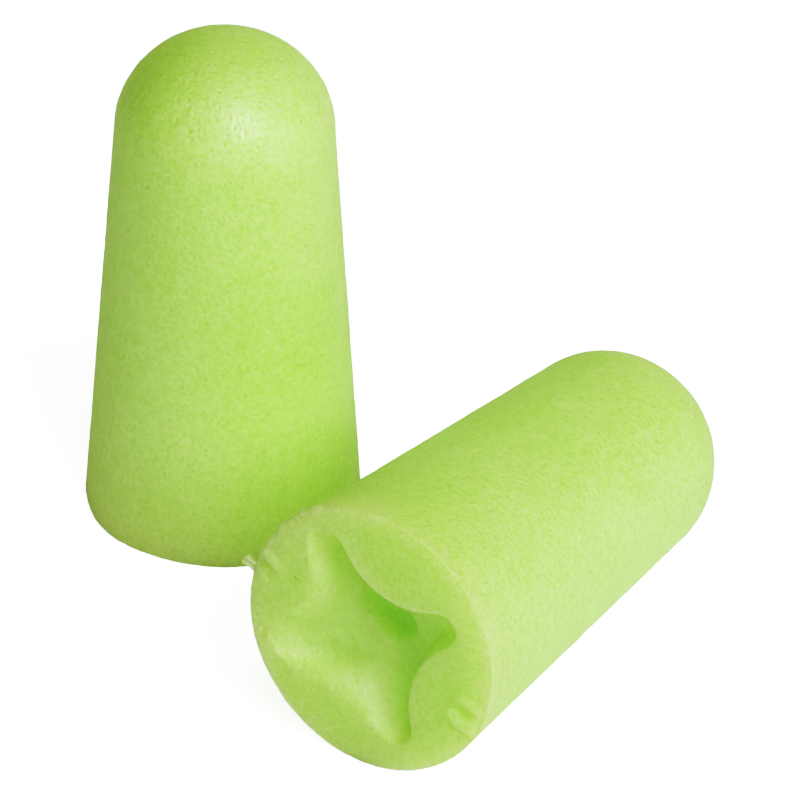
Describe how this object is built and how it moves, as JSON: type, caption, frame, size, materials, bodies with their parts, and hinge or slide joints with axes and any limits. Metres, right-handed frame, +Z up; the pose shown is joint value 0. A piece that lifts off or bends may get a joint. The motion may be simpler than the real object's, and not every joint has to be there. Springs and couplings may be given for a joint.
{
  "type": "foam ear plugs",
  "caption": "Pair of tapered lime green foam ear plugs with domed tips and a four-lobed hollow in the wide flat end, one standing and one lying on its side.",
  "frame": {"origin": "on the ground, under the middle of the pair's box", "axes": "+Z is up, along the standing plug from its wide end to its tip; the lying plug's tip points to +X and +Y"},
  "size_m": [0.0294, 0.0313, 0.0249],
  "materials": {
    "lime_foam": "matte"
  },
  "bodies": {
    "standing_plug": {"plug_standing": "lime_foam"},
    "lying_plug": {"plug_lying": "lime_foam"}
  },
  "joints": [
    {"name": "lying_plug_lift", "type": "slide", "parent": "standing_plug", "child": "lying_plug", "axis": [0, 0, 1], "range_m": [0, 0.04]}
  ]
}
